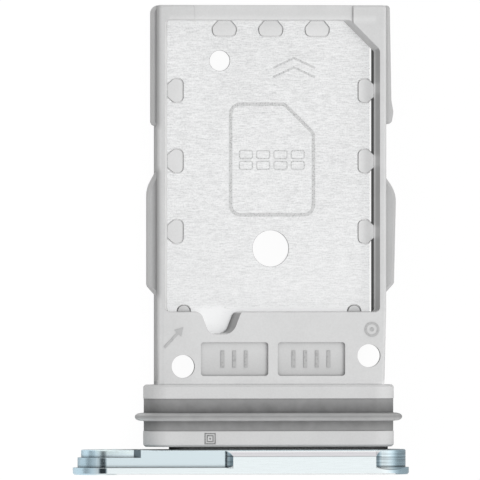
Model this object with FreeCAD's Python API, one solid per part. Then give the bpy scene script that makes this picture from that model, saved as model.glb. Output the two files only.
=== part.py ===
import FreeCAD, Part
import math
import os

from FreeCAD import Vector

# A double-sided tray for two small cards, lying flat. Sizes are in millimetres.
# X runs across the tray, +Y is the way it slides in, +Z is up.
# The origin is under the middle of the tray, on the surface it lies on.

# Cards and the pockets that hold them, one above the plate and one below
card_width = 8.80
card_length = 12.30
card_thickness = 0.67
card_corner_cut = 1.31
card_side_play = 0.05
card_end_play = 0.08
card_sink = 0.02
pocket_side_draft = 0.18
pocket_end_draft = 0.03
notch_side_draft = 0.25
pocket_corner_radius = 0.12
pocket_offset = 1.26

# Moulded frame around the pockets
left_rail_width = 0.50
right_rail_width = 0.46
top_rail_width = 0.65
rail_edge_radius = 0.13
rail_corner_radius = 0.14
deck_length = 3.11
deck_taper = 0.08
top_relief_depth = 0.07
top_relief_left = 3.36
top_relief_right = 3.46

# Thinner ribs along both sides, which run in the slot's guides
rib_thickness = 0.80
rib_edge_bevel = 0.12
rib_root = 0.32
upper_left_rib_reach = 0.20
upper_left_rib_length = 5.14
upper_left_rib_corner = 0.35
upper_right_rib_reach = 0.20
upper_right_rib_rise = 0.07
upper_right_rib_length = 5.05
upper_right_rib_corner = 0.15
detent_reach = 0.36
detent_length = 1.00
detent_crest_radius = 0.60
detent_end_radius = 0.20
linking_rib_reach = 0.05
lower_left_rib_reach = 0.37
lower_left_rib_start = 7.11
lower_left_rib_length = 5.24
lower_right_rib_reach = 0.47
lower_right_rib_start = 7.28
lower_right_rib_length = 4.97
lower_right_rib_fall = 0.09
rib_lead_in = 0.68
rib_lead_in_radius = 1.30
rib_run_out = 0.42

# Thumb notch in the deck, where a card is lifted out
notch_offset = 2.32
notch_depth = 0.94
notch_width = 1.44
notch_foot_width = 0.72
notch_flare_radius = 0.30
notch_foot_radius = 0.40

# Steel plate moulded into the frame
plate_thickness = 0.15
plate_embed = 0.28
plate_side_gap = 0.11
gap_web = 0.05
plate_under_deck = 2.75
plate_corner_radius = 0.30
plate_hole_radius = 0.775
plate_hole_offset = 0.0
plate_hole_from_top = 9.70
index_hole_radius = 0.435
index_hole_offset = 2.18
index_hole_from_top = 1.71

# Tabs of the frame that lock into cut-outs of the plate
tab_neck = 0.54
tab_width = 1.06
tab_foot_width = 0.92
tab_reach = 0.67
tab_shoulder = 0.30
tab_corner_radius = 0.22
tab_gap = 0.02
tab_pitch_across = 1.99
tab_pitch_along = 3.00
tab_middle_from_top = 5.98
half_round_radius = 0.28
half_round_spread = 3.65
half_round_shift = 0.07

# Holes and shallow marking fields of the deck
deck_hole_radius = 0.49
deck_hole_rim = 0.25
deck_hole_relief = 0.17
deck_hole_wall = 0.30
left_deck_hole_offset = 3.82
left_deck_hole_from_pocket = 2.33
right_deck_hole_offset = 4.13
right_deck_hole_from_pocket = 1.88
field_width = 2.88
field_height = 1.43
field_depth = 0.12
field_spacing = 3.29
field_offset = 0.02
field_from_pocket = 2.02
field_corner_radius = 0.13

# Head block behind the deck, with the groove of the water seal
head_width = 10.73
head_height = 1.90
head_length = 2.64
head_offset = 1.18
head_edge_bevel = 0.09
groove_from_deck = 0.59
groove_width = 1.38
groove_depth = 0.32

# Water seal, a band with one lip
seal_sink = 0.02
lip_height = 0.36
lip_width = 0.33
lip_from_groove = 0.61
lip_crest_bevel = 0.11

# Thin gasket between head block and cap
gasket_thickness = 0.12
gasket_width = 9.38
gasket_height = 1.60
gasket_offset = 1.60

# Metal cap
cap_width = 14.38
cap_height = 2.70
flange_depth = 0.30
flange_edge_bevel = 0.06
bar_depth = 0.76
bar_height = 2.30
bar_left_inset = 0.20
bar_right_inset = 0.14
bar_edge_bevel = 0.04
boss_width = 6.13
boss_offset = 2.57
boss_end_sweep = 0.34
boss_back_slope = 0.24
relief_height = 2.00
relief_inset = 0.15
relief_depth = 0.33
relief_length = 2.31
relief_slope = 0.26
pin_hole_radius = 0.45
pin_hole_inset = 1.55
pin_hole_chamfer = 0.05

# Tongue of the cap, held in a socket of the head block
tongue_width = 6.00
tongue_thickness = 0.80
tongue_length = 1.20
tongue_edge_radius = 0.12
socket_clearance = 0.02

# Sizes that follow from the ones above
pocket_width = card_width + card_side_play
pocket_length = card_length + card_end_play
pocket_depth = card_thickness + card_sink
frame_thickness = plate_thickness + 2 * pocket_depth
total_length = (flange_depth + bar_depth + gasket_thickness + head_length
                + deck_length + pocket_length + top_rail_width)

# Heights over the surface that the tray lies on
middle = cap_height / 2
plate_top = middle + plate_thickness / 2
frame_top = middle + frame_thickness / 2

# Places along the tray, from the cap's outer face to the leading end
cap_face = -total_length / 2
flange_back = cap_face + flange_depth
cap_back = flange_back + bar_depth
head_end = cap_back + gasket_thickness
deck_end = head_end + head_length
pocket_near = deck_end + deck_length
pocket_far = pocket_near + pocket_length
tray_end = pocket_far + top_rail_width

# Places across the tray
pocket_left = pocket_offset - pocket_width / 2
pocket_right = pocket_offset + pocket_width / 2
frame_left = pocket_left - left_rail_width
frame_right = pocket_right + right_rail_width

# How far a cutting shape runs past what it cuts, and what counts as no length at all
overrun = 1.0
nothing = 1e-5


# Outlines are lists of (x, y, corner radius), given counter-clockwise

def rounded_wire(corners, height):
    """Closed wire at a height, with a tangent arc at each corner that has a radius."""
    starts, ends, arcs = [], [], {}
    count = len(corners)
    for i, (x, y, radius) in enumerate(corners):
        point = Vector(x, y, height)
        before = Vector(corners[i - 1][0], corners[i - 1][1], height) - point
        after = Vector(corners[(i + 1) % count][0], corners[(i + 1) % count][1], height) - point
        if radius <= 0:
            starts.append(point)
            ends.append(point)
            continue
        before.normalize()
        after.normalize()
        half_angle = before.getAngle(after) / 2
        setback = radius / math.tan(half_angle)
        inward = (before + after).normalize()
        middle_of_arc = point + inward * (radius / math.sin(half_angle) - radius)
        starts.append(point + before * setback)
        ends.append(point + after * setback)
        arcs[i] = Part.Arc(starts[i], middle_of_arc, ends[i]).toShape()
    run = []
    for i in range(count):
        if i in arcs:
            run.append(arcs[i])
        following = starts[(i + 1) % count]
        if ends[i].distanceToPoint(following) > nothing:
            run.append(Part.LineSegment(ends[i], following).toShape())
    return Part.Wire(run)


def grown(corners, steps):
    """The outline with every side moved out by its own step, the side after each corner in turn."""
    result = []
    count = len(corners)
    for i, (x, y, radius) in enumerate(corners):
        before = Vector(x - corners[i - 1][0], y - corners[i - 1][1], 0).normalize()
        after = Vector(corners[(i + 1) % count][0] - x, corners[(i + 1) % count][1] - y, 0).normalize()
        out_before = Vector(before.y, -before.x, 0)
        out_after = Vector(after.y, -after.x, 0)
        step_before, step_after = steps[i - 1], steps[i]
        shared = out_before.dot(out_after)
        shift = (out_before * (step_before - shared * step_after)
                 + out_after * (step_after - shared * step_before)) * (1 / (1 - shared * shared))
        turns_left = before.x * after.y - before.y * after.x > 0
        growth = (step_before + step_after) / 2
        new_radius = radius + growth if turns_left else radius - growth
        result.append((x + shift.x, y + shift.y, max(new_radius, 0) if radius > 0 else 0))
    return result


def prism(corners, bottom, top):
    """Upright block with the given outline."""
    return Part.Face(rounded_wire(corners, bottom)).extrude(Vector(0, 0, top - bottom))


def level_edges(shape):
    """Edges of a shape that stay at one height."""
    return [edge for edge in shape.Edges if edge.BoundBox.ZLength < nothing]


def drafted_prism(corners, floor, rim, drafts):
    """Block that widens by a draft for each side between its floor and its rim."""
    wires = [rounded_wire(corners, floor), rounded_wire(grown(corners, drafts), rim)]
    return Part.makeLoft(wires, True, True)


def rectangle(left, right, front, back, radius=0.0):
    """Outline of a rectangle with equal corners."""
    return [(left, front, radius), (right, front, radius), (right, back, radius), (left, back, radius)]


def pin(x, y, radius, bottom, top):
    """Upright round pin."""
    return Part.makeCylinder(radius, top - bottom, Vector(x, y, bottom))


def pill_bar(centre, width, height, front, back):
    """Bar along Y whose section is a flat slot shape with half-round ends."""
    radius = height / 2
    left, right = centre - width / 2, centre + width / 2
    low, high = middle - radius, middle + radius
    corners = [Vector(left + radius, front, low), Vector(right - radius, front, low),
               Vector(right, front, middle), Vector(right - radius, front, high),
               Vector(left + radius, front, high), Vector(left, front, middle)]
    section = Part.Wire([
        Part.LineSegment(corners[0], corners[1]).toShape(),
        Part.Arc(corners[1], corners[2], corners[3]).toShape(),
        Part.LineSegment(corners[3], corners[4]).toShape(),
        Part.Arc(corners[4], corners[5], corners[0]).toShape()])
    return Part.Face(section).extrude(Vector(0, back - front, 0))


def edges_at(shape, place):
    """Edges of a shape that lie in the plane across Y at a place."""
    return [edge for edge in shape.Edges
            if max(abs(edge.BoundBox.YMin - place), abs(edge.BoundBox.YMax - place)) < nothing]


def mirrored_below(shape):
    """The same shape on the other side of the tray's middle height."""
    return shape.mirror(Vector(0, 0, middle), Vector(0, 0, 1))


# Pocket, notch and plate outlines, shared by frame and plate

def pocket_outline():
    """Pocket floor: cut corner at the upper right, thumb notch in the edge towards the deck."""
    notch_x = pocket_offset - notch_offset
    cut = card_corner_cut
    corner = pocket_corner_radius
    return [
        (pocket_left, pocket_near, corner),
        (notch_x - notch_width / 2, pocket_near, notch_flare_radius),
        (notch_x - notch_foot_width / 2, pocket_near - notch_depth, notch_foot_radius),
        (notch_x + notch_foot_width / 2, pocket_near - notch_depth, notch_foot_radius),
        (notch_x + notch_width / 2, pocket_near, notch_flare_radius),
        (pocket_right, pocket_near, corner),
        (pocket_right, pocket_far - cut, corner),
        (pocket_right - cut, pocket_far, corner),
        (pocket_left, pocket_far, corner)]


def pocket_drafts():
    """How far each wall of the pocket leans out, the deck's edge first."""
    side, end = pocket_side_draft, pocket_end_draft
    notch = [end, end, notch_side_draft]
    return [end] + notch + [end, side, side, end, side]


def deck_hole_places():
    """Centres of the two holes beside the marking fields."""
    return [(pocket_offset - left_deck_hole_offset, pocket_near - left_deck_hole_from_pocket),
            (pocket_offset + right_deck_hole_offset, pocket_near - right_deck_hole_from_pocket)]


def tab_places():
    """Foot point and direction into the pocket of every locking tab."""
    places = []
    for step in (-1, 0, 1):
        places.append((pocket_offset + step * tab_pitch_across, pocket_far, 180))
        along = pocket_far - tab_middle_from_top + step * tab_pitch_along
        places.append((pocket_left, along, -90))
        places.append((pocket_right, along, 90))
    return places


def tab_outline():
    """Tab that stands on the pocket wall at the origin and reaches along +Y."""
    neck, shoulder, foot = tab_neck / 2, tab_width / 2, tab_foot_width / 2
    return [
        (neck, -plate_embed, 0),
        (neck, 0, 0),
        (shoulder, tab_shoulder, tab_corner_radius),
        (foot, tab_reach, tab_corner_radius),
        (-foot, tab_reach, tab_corner_radius),
        (-shoulder, tab_shoulder, tab_corner_radius),
        (-neck, 0, 0),
        (-neck, -plate_embed, 0)]


def locking_tabs(gap, bottom, top):
    """All tabs as blocks, larger all round by a gap."""
    blocks = []
    for x, y, turn in tab_places():
        outline = tab_outline()
        block = prism(grown(outline, [gap] * len(outline)), bottom, top)
        block.rotate(Vector(0, 0, 0), Vector(0, 0, 1), turn)
        block.translate(Vector(x, y, 0))
        blocks.append(block)
    for side in (-1, 1):
        blocks.append(pin(pocket_offset - half_round_shift + side * half_round_spread, pocket_near,
                          half_round_radius + gap, bottom, top))
    return blocks


# Steel plate

def plate_blank(gap):
    """Sheet in the middle of the frame, with its cut-outs and holes larger by a gap."""
    bottom, top = middle - plate_thickness / 2, plate_top
    left, right = pocket_left - plate_embed, pocket_right - plate_side_gap
    back, front = pocket_far + plate_embed, pocket_near - plate_under_deck
    cut = card_corner_cut - plate_embed
    radius = plate_corner_radius
    outline = [(left, front, radius), (right, front, radius), (right, back - cut, 0),
               (right - cut, back, 0), (left, back, radius)]
    sheet = prism(outline, bottom, top)
    cutters = locking_tabs(gap, bottom - overrun, top + overrun)
    for x, y in deck_hole_places():
        cutters.append(pin(x, y, deck_hole_radius + deck_hole_wall + gap, bottom - overrun, top + overrun))
    return sheet.cut(cutters)


def make_card_plate():
    """Plate with the large middle hole and the small index hole."""
    bottom, top = middle - plate_thickness / 2 - overrun, plate_top + overrun
    holes = [
        pin(pocket_offset + plate_hole_offset, pocket_far - plate_hole_from_top,
            plate_hole_radius, bottom, top),
        pin(pocket_offset - index_hole_offset, pocket_far - index_hole_from_top,
            index_hole_radius, bottom, top)]
    return plate_blank(tab_gap).cut(holes)


# Moulded frame

def frame_body():
    """Rails and deck as one flat block with rounded rims."""
    buried = min(groove_from_deck, head_length) / 2
    slant = deck_taper * (deck_length + buried) / deck_length
    outline = [
        (frame_left, deck_end - buried, 0),
        (frame_right - slant, deck_end - buried, 0),
        (frame_right, pocket_near, 0),
        (frame_right, tray_end, rail_corner_radius),
        (frame_left, tray_end, rail_corner_radius)]
    block = prism(outline, frame_top - frame_thickness, frame_top)
    rims = [edge for edge in level_edges(block) if edge.BoundBox.YMax > deck_end]
    return block.makeFillet(rail_edge_radius, rims)


def side_ribs():
    """Ribs on the outside of both rails, with the detent bump at the upper right."""
    bottom, top = middle - rib_thickness / 2, middle + rib_thickness / 2
    left_root, right_root = frame_left + rib_root, frame_right - rib_root
    upper_left = frame_left - upper_left_rib_reach
    upper_left_end = tray_end - upper_left_rib_length
    lower_left = frame_left - lower_left_rib_reach
    lower_left_top = tray_end - lower_left_rib_start
    lower_left_end = lower_left_top - lower_left_rib_length
    upper_right = frame_right + upper_right_rib_reach
    detent_foot = upper_right + upper_right_rib_rise
    detent = frame_right + detent_reach
    detent_end = tray_end - upper_right_rib_length
    link = frame_right + linking_rib_reach
    lower_right = frame_right + lower_right_rib_reach
    lower_right_top = tray_end - lower_right_rib_start
    lower_right_end = lower_right_top - lower_right_rib_length
    outlines = [
        [(left_root, upper_left_end, 0), (left_root, tray_end, 0),
         (upper_left, tray_end, upper_left_rib_corner),
         (upper_left, upper_left_end, upper_left_rib_reach)],
        [(left_root, lower_left_end, 0), (left_root, lower_left_top, 0), (frame_left, lower_left_top, 0),
         (lower_left, lower_left_top - rib_lead_in, rib_lead_in_radius),
         (lower_left, lower_left_end + rib_run_out, rib_run_out / 2),
         (frame_left, lower_left_end, 0)],
        [(right_root, detent_end, 0), (detent_foot, detent_end, detent_end_radius),
         (detent, detent_end + detent_length / 2, detent_crest_radius),
         (detent_foot, detent_end + detent_length, detent_crest_radius),
         (upper_right, tray_end, upper_right_rib_corner), (right_root, tray_end, 0)],
        [(right_root, lower_right_end, 0), (frame_right, lower_right_end, 0),
         (lower_right - lower_right_rib_fall, lower_right_end + rib_run_out, rib_run_out / 2),
         (lower_right, lower_right_top - rib_lead_in, rib_lead_in_radius),
         (frame_right, lower_right_top, 0), (right_root, lower_right_top, 0)]]
    ribs = [prism(rectangle(right_root, link, lower_right_top - rib_run_out, detent_end + rib_run_out),
                  bottom + rib_edge_bevel, top - rib_edge_bevel)]
    for outline in outlines:
        rib = prism(outline, bottom, top)
        ribs.append(rib.makeChamfer(rib_edge_bevel, level_edges(rib)))
    return ribs


def head_block():
    """Pill-shaped block that carries the seal and takes the cap's tongue."""
    block = pill_bar(head_offset, head_width, head_height, head_end, deck_end)
    return block.makeChamfer(head_edge_bevel, edges_at(block, head_end) + edges_at(block, deck_end))


def seal_groove():
    """Ring that is cut out of the head block."""
    front = deck_end - groove_from_deck - groove_width
    back = deck_end - groove_from_deck
    outside = pill_bar(head_offset, head_width + overrun, head_height + overrun, front, back)
    return outside.cut(groove_core(front, back))


def groove_core(front, back):
    """Pill left standing inside the groove."""
    return pill_bar(head_offset, head_width - 2 * groove_depth, head_height - 2 * groove_depth, front, back)


def marking_fields():
    """Two shallow fields in the deck's upper face."""
    fields = []
    centre_y = pocket_near - field_from_pocket
    for side in (-1, 1):
        centre_x = pocket_offset + field_offset + side * field_spacing / 2
        outline = rectangle(centre_x - field_width / 2, centre_x + field_width / 2,
                            centre_y - field_height / 2, centre_y + field_height / 2, field_corner_radius)
        fields.append(prism(outline, frame_top - field_depth, frame_top + overrun))
    return fields


def top_relief():
    """Shallow step in the middle of the leading rail."""
    outline = rectangle(pocket_offset - top_relief_left, pocket_offset + top_relief_right,
                        pocket_far - overrun, tray_end + overrun)
    return prism(outline, frame_top - top_relief_depth, frame_top + overrun)


def make_tray_frame():
    """Rails, deck, ribs, tabs and head block, moulded as one piece round the plate."""
    upper_pocket = drafted_prism(pocket_outline(), plate_top, frame_top, pocket_drafts())
    window = prism(pocket_outline(), middle - plate_thickness, plate_top + pocket_depth / 2)
    socket = Part.makeBox(
        tongue_width + 2 * socket_clearance, tongue_length + socket_clearance + overrun,
        tongue_thickness + 2 * socket_clearance,
        Vector(head_offset - tongue_width / 2 - socket_clearance, head_end - overrun,
               middle - tongue_thickness / 2 - socket_clearance))
    holes = []
    for x, y in deck_hole_places():
        holes.append(pin(x, y, deck_hole_radius, middle, frame_top + overrun))
        holes.append(pin(x, y, deck_hole_radius + deck_hole_relief, middle - frame_thickness,
                         frame_top - deck_hole_rim))
    web = Part.makeBox(2 * plate_side_gap, pocket_length - card_corner_cut + plate_side_gap, gap_web,
                       Vector(pocket_right - plate_side_gap, pocket_near, middle - gap_web / 2))
    tabs = locking_tabs(0, middle - plate_thickness / 2, plate_top)

    frame = frame_body().fuse(side_ribs() + [head_block()])
    frame = frame.cut([upper_pocket, mirrored_below(upper_pocket), window])
    frame = frame.fuse(tabs + [web])
    return frame.cut([plate_blank(0), seal_groove(), socket, top_relief()] + marking_fields() + holes)


# Water seal

def make_water_seal():
    """Band that fills the groove, with a rounded lip all round."""
    front = deck_end - groove_from_deck - groove_width
    back = deck_end - groove_from_deck
    lip_back = back - lip_from_groove
    lip_front = lip_back - lip_width
    band = pill_bar(head_offset, head_width - 2 * seal_sink, head_height - 2 * seal_sink, front, back)
    lip = pill_bar(head_offset, head_width + 2 * lip_height, head_height + 2 * lip_height,
                   lip_front, lip_back)
    lip = lip.makeChamfer(lip_crest_bevel, edges_at(lip, lip_front) + edges_at(lip, lip_back))
    return band.fuse(lip).cut(groove_core(front, back)).removeSplitter()


# Gasket

def make_cap_gasket():
    """Thin pad round the root of the tongue."""
    pad = pill_bar(gasket_offset, gasket_width, gasket_height, cap_back, head_end)
    window = Part.makeBox(
        tongue_width + 2 * socket_clearance, gasket_thickness + 2 * overrun,
        tongue_thickness + 2 * socket_clearance,
        Vector(head_offset - tongue_width / 2 - socket_clearance, cap_back - overrun,
               middle - tongue_thickness / 2 - socket_clearance))
    return pad.cut(window)


# Metal cap

def cap_boss():
    """Raised middle of the cap, swept up from the bar at both ends and sloped at the back."""
    bar_top, boss_top = middle + bar_height / 2, middle + cap_height / 2
    rise = boss_top - bar_top
    front, back = cap_face + flange_depth / 2, cap_back - bar_edge_bevel
    left = boss_offset - boss_width / 2 - boss_end_sweep
    right = boss_offset + boss_width / 2 + boss_end_sweep
    boss = Part.makeBox(right - left, back - front, boss_top - middle, Vector(left, front, middle))
    sweep_radius = (rise * rise + boss_end_sweep * boss_end_sweep) / (2 * rise)
    cutters = [Part.makeCylinder(sweep_radius, back - front + 2 * overrun,
                                 Vector(x, front - overrun, bar_top + sweep_radius), Vector(0, 1, 0))
               for x in (left, right)]
    run = boss_back_slope * (rise + overrun) / rise
    wedge = Part.Wire(Part.makePolygon([
        Vector(left - overrun, back, bar_top), Vector(left - overrun, back - run, boss_top + overrun),
        Vector(left - overrun, back + overrun, boss_top + overrun),
        Vector(left - overrun, back + overrun, bar_top), Vector(left - overrun, back, bar_top)]))
    cutters.append(Part.Face(wedge).extrude(Vector(right - left + 2 * overrun, 0, 0)))
    return boss.cut(cutters)


def end_relief():
    """What is milled off the left end of the bar, beside the head block."""
    left = -cap_width / 2 + bar_left_inset
    front = cap_back - relief_depth
    foot = left + relief_length
    kept = pill_bar(0, 2 * (-left - relief_inset), relief_height, front, cap_back)
    kept = kept.makeChamfer(bar_edge_bevel, edges_at(kept, cap_back))
    low, high = middle + relief_height / 2, middle + bar_height / 2
    run = relief_slope * (high - low + overrun) / (high - low)
    side = Part.Wire(Part.makePolygon([
        Vector(left - overrun, front, middle), Vector(left - overrun, front, high + overrun),
        Vector(foot + run, front, high + overrun), Vector(foot, front, low),
        Vector(foot, front, middle), Vector(left - overrun, front, middle)]))
    upper = Part.Face(side).extrude(Vector(0, relief_depth + overrun, 0))
    whole = upper.fuse(mirrored_below(upper))
    return whole.cut(kept)


def cap_tongue():
    """Flat tongue that is held in the head block."""
    tongue = Part.makeBox(
        tongue_width, bar_depth + gasket_thickness + tongue_length, tongue_thickness,
        Vector(head_offset - tongue_width / 2, flange_back, middle - tongue_thickness / 2))
    tip = edges_at(tongue, head_end + tongue_length)
    return tongue.makeFillet(tongue_edge_radius, tip)


def make_metal_cap():
    """Flange, stepped bar, raised boss and tongue, milled from one piece."""
    flange = pill_bar(0, cap_width, cap_height, cap_face, flange_back)
    flange = flange.makeChamfer(flange_edge_bevel, edges_at(flange, cap_face))
    bar_left, bar_right = -cap_width / 2 + bar_left_inset, cap_width / 2 - bar_right_inset
    bar = pill_bar((bar_left + bar_right) / 2, bar_right - bar_left, bar_height,
                   cap_face + flange_depth / 2, cap_back)
    bar = bar.makeChamfer(bar_edge_bevel, edges_at(bar, cap_back)).cut(end_relief())
    boss = cap_boss()
    cap = flange.fuse([bar, boss, mirrored_below(boss), cap_tongue()])
    pin_x = -cap_width / 2 + pin_hole_inset
    hole = Part.makeCylinder(pin_hole_radius, total_length, Vector(pin_x, cap_face - overrun, middle),
                             Vector(0, 1, 0))
    mouth = Part.makeCone(pin_hole_radius + pin_hole_chamfer, pin_hole_radius, pin_hole_chamfer,
                          Vector(pin_x, cap_face, middle), Vector(0, 1, 0))
    return cap.cut([hole, mouth]).removeSplitter()


pieces = {
    "tray_frame": make_tray_frame,
    "card_plate": make_card_plate,
    "water_seal": make_water_seal,
    "cap_gasket": make_cap_gasket,
    "metal_cap": make_metal_cap,
}

os.makedirs("parts", exist_ok=True)
for name, make in pieces.items():
    shape = make()
    if not shape.isValid():
        raise ValueError(name + " is not a sound solid")
    shape.exportStep("parts/" + name + ".step")
    print(name, len(shape.Solids), "solid", round(shape.Volume, 3), "mm3")
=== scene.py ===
import math

import bpy
import bmesh
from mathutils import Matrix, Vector


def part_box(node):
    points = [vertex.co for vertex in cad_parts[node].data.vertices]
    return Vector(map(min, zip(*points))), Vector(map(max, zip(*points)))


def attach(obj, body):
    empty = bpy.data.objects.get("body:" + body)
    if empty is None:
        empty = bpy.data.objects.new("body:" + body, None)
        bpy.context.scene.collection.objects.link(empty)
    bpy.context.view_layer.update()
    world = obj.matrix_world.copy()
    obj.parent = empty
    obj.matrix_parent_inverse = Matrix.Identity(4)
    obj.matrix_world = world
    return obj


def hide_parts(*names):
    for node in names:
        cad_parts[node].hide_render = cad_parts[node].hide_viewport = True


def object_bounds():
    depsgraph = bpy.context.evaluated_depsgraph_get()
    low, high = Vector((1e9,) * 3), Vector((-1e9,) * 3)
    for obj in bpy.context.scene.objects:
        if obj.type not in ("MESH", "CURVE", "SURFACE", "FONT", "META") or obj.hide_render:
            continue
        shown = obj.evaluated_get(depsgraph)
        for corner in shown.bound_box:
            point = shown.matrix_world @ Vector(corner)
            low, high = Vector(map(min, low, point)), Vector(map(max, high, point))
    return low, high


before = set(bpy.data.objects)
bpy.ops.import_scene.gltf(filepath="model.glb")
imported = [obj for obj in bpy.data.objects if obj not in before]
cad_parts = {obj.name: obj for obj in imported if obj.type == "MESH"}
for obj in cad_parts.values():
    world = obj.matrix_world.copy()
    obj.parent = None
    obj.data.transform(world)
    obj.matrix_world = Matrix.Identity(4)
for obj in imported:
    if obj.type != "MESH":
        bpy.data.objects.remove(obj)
cadLow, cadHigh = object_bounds()

mm = 0.001     # lengths are in millimetres, and become metres with this


def boxInMm(nodeName):
    low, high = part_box(nodeName)
    return Vector(low) / mm, Vector(high) / mm


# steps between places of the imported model, in mm
offsets = {
    "headOverDeck": 0.185,
    "railLeft": 0.22, "railRight": 0.57,     # from the plate's edges to the rails' outsides
    "besidePlate": 0.11,     # gap between the plate and the pocket's right wall
    "headBlock": 0.59,       # from the seal to the deck
    "deck": 3.11,
    "leadingRail": 0.65,
    "flange": 0.30,
    "cap": 1.06,             # flange and bar
}
headTop = boxInMm("tray_frame")[1].z
plateLow, plateHigh = boxInMm("card_plate")
sealLow, sealHigh = boxInMm("water_seal")
capLow, capHigh = boxInMm("metal_cap")
middleZ = (cadLow.z + cadHigh.z) / 2 / mm
plateTop = plateHigh.z
plateHalf = plateTop - middleZ
capTopHalf = capHigh.z - middleZ
deckTop = headTop - offsets["headOverDeck"]
deckEnd = sealHigh.y + offsets["headBlock"]      # where the deck meets the head block
pocketStart = deckEnd + offsets["deck"]
pocketEnd = cadHigh.y / mm - offsets["leadingRail"]
pocketRight = plateHigh.x + offsets["besidePlate"]
railLeft = plateLow.x - offsets["railLeft"]
railRight = plateHigh.x + offsets["railRight"]
flangeBack = capLow.y + offsets["flange"]
capBack = capLow.y + offsets["cap"]
print("frame loaded, box in mm:", [round(v / mm, 2) for v in (*cadLow, *cadHigh)])


# node helpers

def addNode(tree, kind, inputs=None, **settings):
    node = tree.nodes.new(kind)
    for name, value in settings.items():
        setattr(node, name, value)
    for key, value in (inputs or {}).items():
        if isinstance(value, bpy.types.NodeSocket):
            tree.links.new(value, node.inputs[key])
        else:
            node.inputs[key].default_value = value
    return node


def newMaterial(name):
    material = bpy.data.materials.new(name)
    material.use_nodes = True
    material.node_tree.nodes.clear()
    return material, material.node_tree


def placeInMm(tree, stretch=(1, 1, 1)):
    # position on the object in millimetres, squeezed per axis for streaks
    place = addNode(tree, "ShaderNodeTexCoord")
    scaled = addNode(tree, "ShaderNodeMapping", {
        "Vector": place.outputs["Object"],
        "Scale": [s / mm for s in stretch]})
    return scaled.outputs["Vector"]


def axesOf(tree, vector):
    parts = addNode(tree, "ShaderNodeSeparateXYZ", {0: vector})
    return parts.outputs[0], parts.outputs[1], parts.outputs[2]


def facingOf(tree):
    return addNode(tree, "ShaderNodeNewGeometry").outputs["Normal"]


def noise(tree, vector, perMm, detail, rough=0.5):
    return addNode(tree, "ShaderNodeTexNoise", {
        "Vector": vector, "Scale": perMm, "Detail": detail, "Roughness": rough}).outputs["Fac"]


def mathNode(tree, operation, *values):
    return addNode(tree, "ShaderNodeMath", dict(enumerate(values)), operation=operation).outputs[0]


def times(tree, first, second):
    return mathNode(tree, "MULTIPLY", first, second)


def apart(tree, value, place):
    return mathNode(tree, "ABSOLUTE", mathNode(tree, "SUBTRACT", value, place))


def spread(tree, value, low, high, toLow, toHigh, smooth=False):
    kind = "SMOOTHSTEP" if smooth else "LINEAR"
    return addNode(tree, "ShaderNodeMapRange", {
        "Value": value, "From Min": low, "From Max": high,
        "To Min": toLow, "To Max": toHigh}, interpolation_type=kind).outputs["Result"]


def varied(tree, pattern, low, high):
    # the middle of a noise pattern, spread over two levels
    return spread(tree, pattern, 0.3, 0.7, low, high)


def past(tree, value, low, high):
    # mask that rises from 0 to 1 between two places
    return spread(tree, value, low, high, 0.0, 1.0)


def within(tree, value, low, high, fade):
    # mask of 1 between two places, falling to 0 over a short way outside
    return times(tree, past(tree, value, low - fade, low), spread(tree, value, high, high + fade, 1.0, 0.0))


def without(tree, where):
    return mathNode(tree, "SUBTRACT", 1.0, where)


def chosen(tree, where, usual, there):
    # one value outside the mask, another inside it
    return spread(tree, where, 0.0, 1.0, usual, there)


def toned(tree, level, where, tone):
    return times(tree, level, chosen(tree, where, 1.0, tone))


def spanFrom(place, span):
    return place + span[0], place + span[1]


def blendColour(tree, share, first, second):
    node = addNode(tree, "ShaderNodeMix", data_type="RGBA")
    for key, value in ((0, share), (6, first), (7, second)):
        if isinstance(value, bpy.types.NodeSocket):
            tree.links.new(value, node.inputs[key])
        else:
            node.inputs[key].default_value = value
    return node.outputs[2]


def greyOf(tree, level):
    return addNode(tree, "ShaderNodeCombineColor", {0: level, 1: level, 2: level}).outputs[0]


def grey(level):
    return (level, level, level, 1)


def openness(tree, reach):
    # 1 in the open, less in corners within a reach in mm
    return addNode(tree, "ShaderNodeAmbientOcclusion", {"Distance": reach * mm}, samples=8).outputs["AO"]


def roundedNormal(tree, width, samples):
    return addNode(tree, "ShaderNodeBevel", {"Radius": width * mm}, samples=samples).outputs["Normal"]


def flatness(tree, width):
    # 1 on a flat top, less within a width in mm of its rims
    return mathNode(tree, "ABSOLUTE", axesOf(tree, roundedNormal(tree, width, 8))[2])


def bumped(tree, height, depth, strength, normal=None):
    inputs = {"Height": height, "Distance": depth * mm, "Strength": strength}
    if normal is not None:
        inputs["Normal"] = normal
    return addNode(tree, "ShaderNodeBump", inputs).outputs["Normal"]


def finishMaterial(tree, shader):
    addNode(tree, "ShaderNodeOutputMaterial", {"Surface": shader})


def finishSurface(tree, colour, rough, metallic=0.0, normal=None):
    inputs = {"Base Color": colour, "Roughness": rough, "Metallic": metallic}
    if normal is not None:
        inputs["Normal"] = normal
    finishMaterial(tree, addNode(tree, "ShaderNodeBsdfPrincipled", inputs).outputs[0])


# materials

sharp, soft = 0.01, 0.02     # mm over which a mask ends

halfRoundTabs = {
    "middle": 1.19, "toEach": 3.65, "radius": 0.28,
    "lineHalf": 0.02, "lineTone": 0.12,
}


def halfRoundLine(tree, across, along):
    # thin dark line round the two half-round tabs at the pocket's near wall
    s = halfRoundTabs
    outward = mathNode(tree, "SUBTRACT", apart(tree, across, s["middle"]), s["toEach"])
    beyond = mathNode(tree, "SUBTRACT", along, pocketStart)
    squares = mathNode(tree, "ADD", times(tree, outward, outward), times(tree, beyond, beyond))
    away = mathNode(tree, "SQRT", squares)
    return within(tree, away, s["radius"] - s["lineHalf"], s["radius"] + s["lineHalf"], sharp)


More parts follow.
